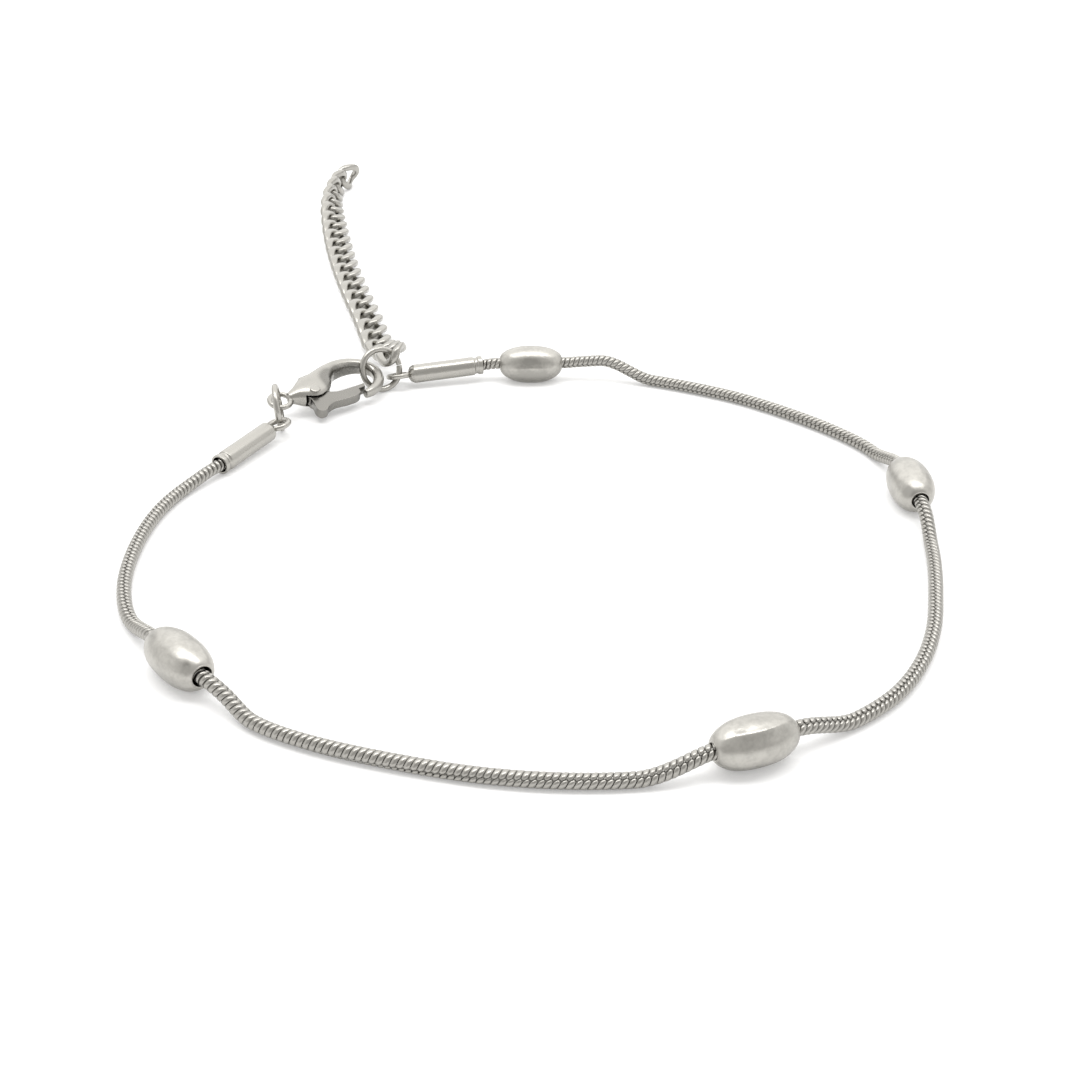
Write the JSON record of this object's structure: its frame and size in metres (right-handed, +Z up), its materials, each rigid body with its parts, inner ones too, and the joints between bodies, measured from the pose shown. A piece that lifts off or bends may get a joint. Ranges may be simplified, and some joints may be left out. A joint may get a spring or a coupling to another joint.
{
  "type": "bracelet",
  "caption": "Slim metal bracelet: a snake chain threaded through faceted nugget beads, closed by a lobster clasp with a sprung lever, with a curb extension chain.",
  "frame": {"origin": "middle of the bounding box, on the surface that the bracelet lies on", "axes": "+Z up from the surface, +Y from the wrist loop towards the free end of the extension chain, +X across the loop"},
  "size_m": [0.0584, 0.11, 0.0039],
  "materials": {
    "snake_chain_steel": "satin steel, slightly warm, darker between the scales",
    "bead_steel": "fine matt tumbled silver, warm grey, with soft bright ridges",
    "fitting_steel": "smooth satin steel",
    "extension_steel": "satin steel curb links"
  },
  "bodies": {
    "bracelet": {"snake_chain": "snake_chain_steel", "bead_left": "bead_steel", "bead_front": "bead_steel", "bead_right": "bead_steel", "bead_back": "bead_steel", "end_cap_left": "fitting_steel", "end_cap_right": "fitting_steel", "clasp_body": "fitting_steel", "jump_ring_left": "fitting_steel", "jump_ring_right": "fitting_steel", "extension_1": "extension_steel", "extension_2": "extension_steel", "extension_3": "extension_steel", "extension_4": "extension_steel", "extension_5": "extension_steel", "extension_6": "extension_steel", "extension_7": "extension_steel"},
    "lever": {"clasp_lever": "fitting_steel"}
  },
  "joints": [
    {"name": "lever_hinge", "type": "hinge", "parent": "bracelet", "child": "lever", "pos_m": [-0.01886, -0.00669, 0.00147], "axis": [0.175, -0.2131, 0.9612], "range_deg": [0, 25], "stiffness_Nm_per_rad": 0.002, "springref_deg": -28.65}
  ]
}
